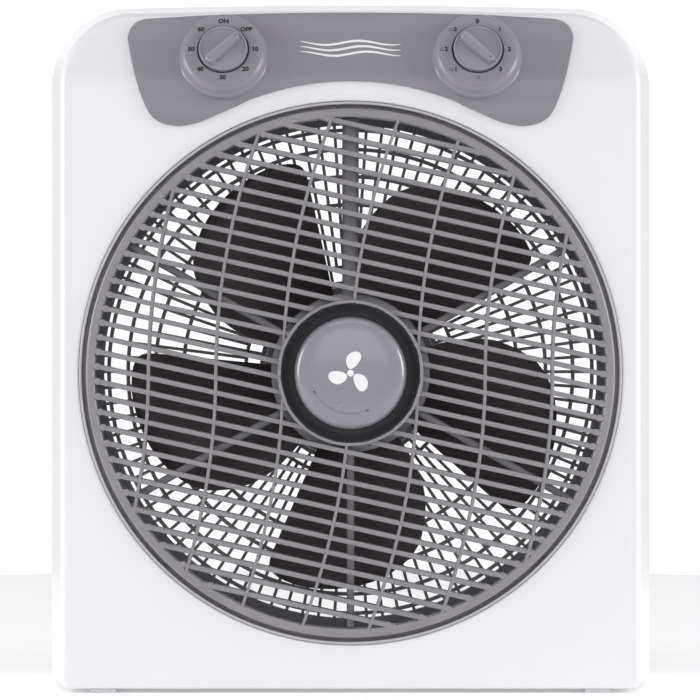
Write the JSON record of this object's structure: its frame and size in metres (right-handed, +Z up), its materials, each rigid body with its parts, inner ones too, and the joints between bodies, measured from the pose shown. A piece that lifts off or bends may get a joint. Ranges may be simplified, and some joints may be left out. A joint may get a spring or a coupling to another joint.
{
  "type": "box fan",
  "caption": "Upright box fan with a turning front louvre, a moulded housing, a timer dial, a speed dial and a grip pocket in the rear.",
  "frame": {"origin": "on the floor, under the middle of the fan's box", "axes": "+Z up, -Y is the front with the louvre and the dials, +X is to the right seen from the front"},
  "size_m": [0.369, 0.1342, 0.419],
  "materials": {
    "white_shell": "fine satin moulded plastic",
    "panel_grey": "satin moulded plastic",
    "grille_grey": "satin moulded plastic",
    "knob_grey": "satin moulded plastic",
    "ivory_plastic": "matt",
    "bright_steel": "zinc plated",
    "screw_steel": "zinc plated",
    "blade_brown": "satin moulded plastic",
    "dark_plastic": "matt",
    "motor_steel": "varnished laminations",
    "copper_wire": "enamelled wire",
    "cast_aluminium": "as cast",
    "cable_grey": "matt sheath",
    "foot_rubber": "matt"
  },
  "bodies": {
    "housing": {"front_shell": "white_shell", "rear_shell": "white_shell", "control_panel": "panel_grey", "front_frame": "grille_grey", "rear_guard": "grille_grey", "motor_cover": "grille_grey", "grille_motor_cover": "grille_grey", "timer_switch_body": "ivory_plastic", "speed_switch_body": "ivory_plastic", "terminal_block": "ivory_plastic", "timer_switch_nut": "bright_steel", "speed_switch_nut": "bright_steel", "grille_motor": "bright_steel", "motor_front_bearing": "bright_steel", "motor_rear_bearing": "bright_steel", "capacitor_clamp": "bright_steel", "capacitor": "dark_plastic", "cord_gland": "dark_plastic", "motor_stator": "motor_steel", "motor_winding_front": "copper_wire", "motor_winding_rear": "copper_wire", "motor_front_bracket": "cast_aluminium", "motor_rear_bracket": "cast_aluminium", "switch_cable": "cable_grey", "grille_motor_cable": "cable_grey", "foot_front_left": "foot_rubber", "foot_front_right": "foot_rubber", "foot_rear_left": "foot_rubber", "foot_rear_right": "foot_rubber", "shell_screw_1": "screw_steel", "shell_screw_2": "screw_steel", "shell_screw_3": "screw_steel", "shell_screw_4": "screw_steel", "frame_screw_1": "screw_steel", "frame_screw_2": "screw_steel", "frame_screw_3": "screw_steel", "frame_screw_4": "screw_steel", "guard_screw_1": "screw_steel", "guard_screw_2": "screw_steel", "guard_screw_3": "screw_steel", "guard_screw_4": "screw_steel", "motor_screw_1": "screw_steel", "motor_screw_2": "screw_steel", "grille_motor_screw_1": "screw_steel", "grille_motor_screw_2": "screw_steel"},
    "fan": {"fan_blades": "blade_brown", "fan_nut": "dark_plastic", "motor_shaft": "bright_steel", "motor_rotor": "motor_steel"},
    "louvre": {"louvre_grille": "grille_grey", "grille_motor_shaft": "bright_steel"},
    "lock_knob": {"hub_knob": "knob_grey"},
    "timer_dial": {"timer_knob": "knob_grey", "timer_shaft": "bright_steel"},
    "speed_dial": {"speed_knob": "knob_grey", "speed_shaft": "bright_steel"}
  },
  "joints": [
    {"name": "fan_spin", "type": "hinge", "parent": "housing", "child": "fan", "pos_m": [0, 0, 0.1926], "axis": [0, 1, 0], "continuous": true},
    {"name": "louvre_spin", "type": "hinge", "parent": "housing", "child": "louvre", "pos_m": [0, 0, 0.1926], "axis": [0, 1, 0], "continuous": true},
    {"name": "lock_knob_turn", "type": "hinge", "parent": "louvre", "child": "lock_knob", "pos_m": [0, 0, 0.1926], "axis": [0, 1, 0], "range_deg": [-360, 0]},
    {"name": "timer_turn", "type": "hinge", "parent": "housing", "child": "timer_dial", "pos_m": [-0.0763, -0.04975, 0.383], "axis": [0, 0.9272, -0.3746], "range_deg": [-45, 270]},
    {"name": "speed_turn", "type": "hinge", "parent": "housing", "child": "speed_dial", "pos_m": [0.0763, -0.04975, 0.383], "axis": [0, 0.9272, -0.3746], "range_deg": [-135, 180]}
  ]
}
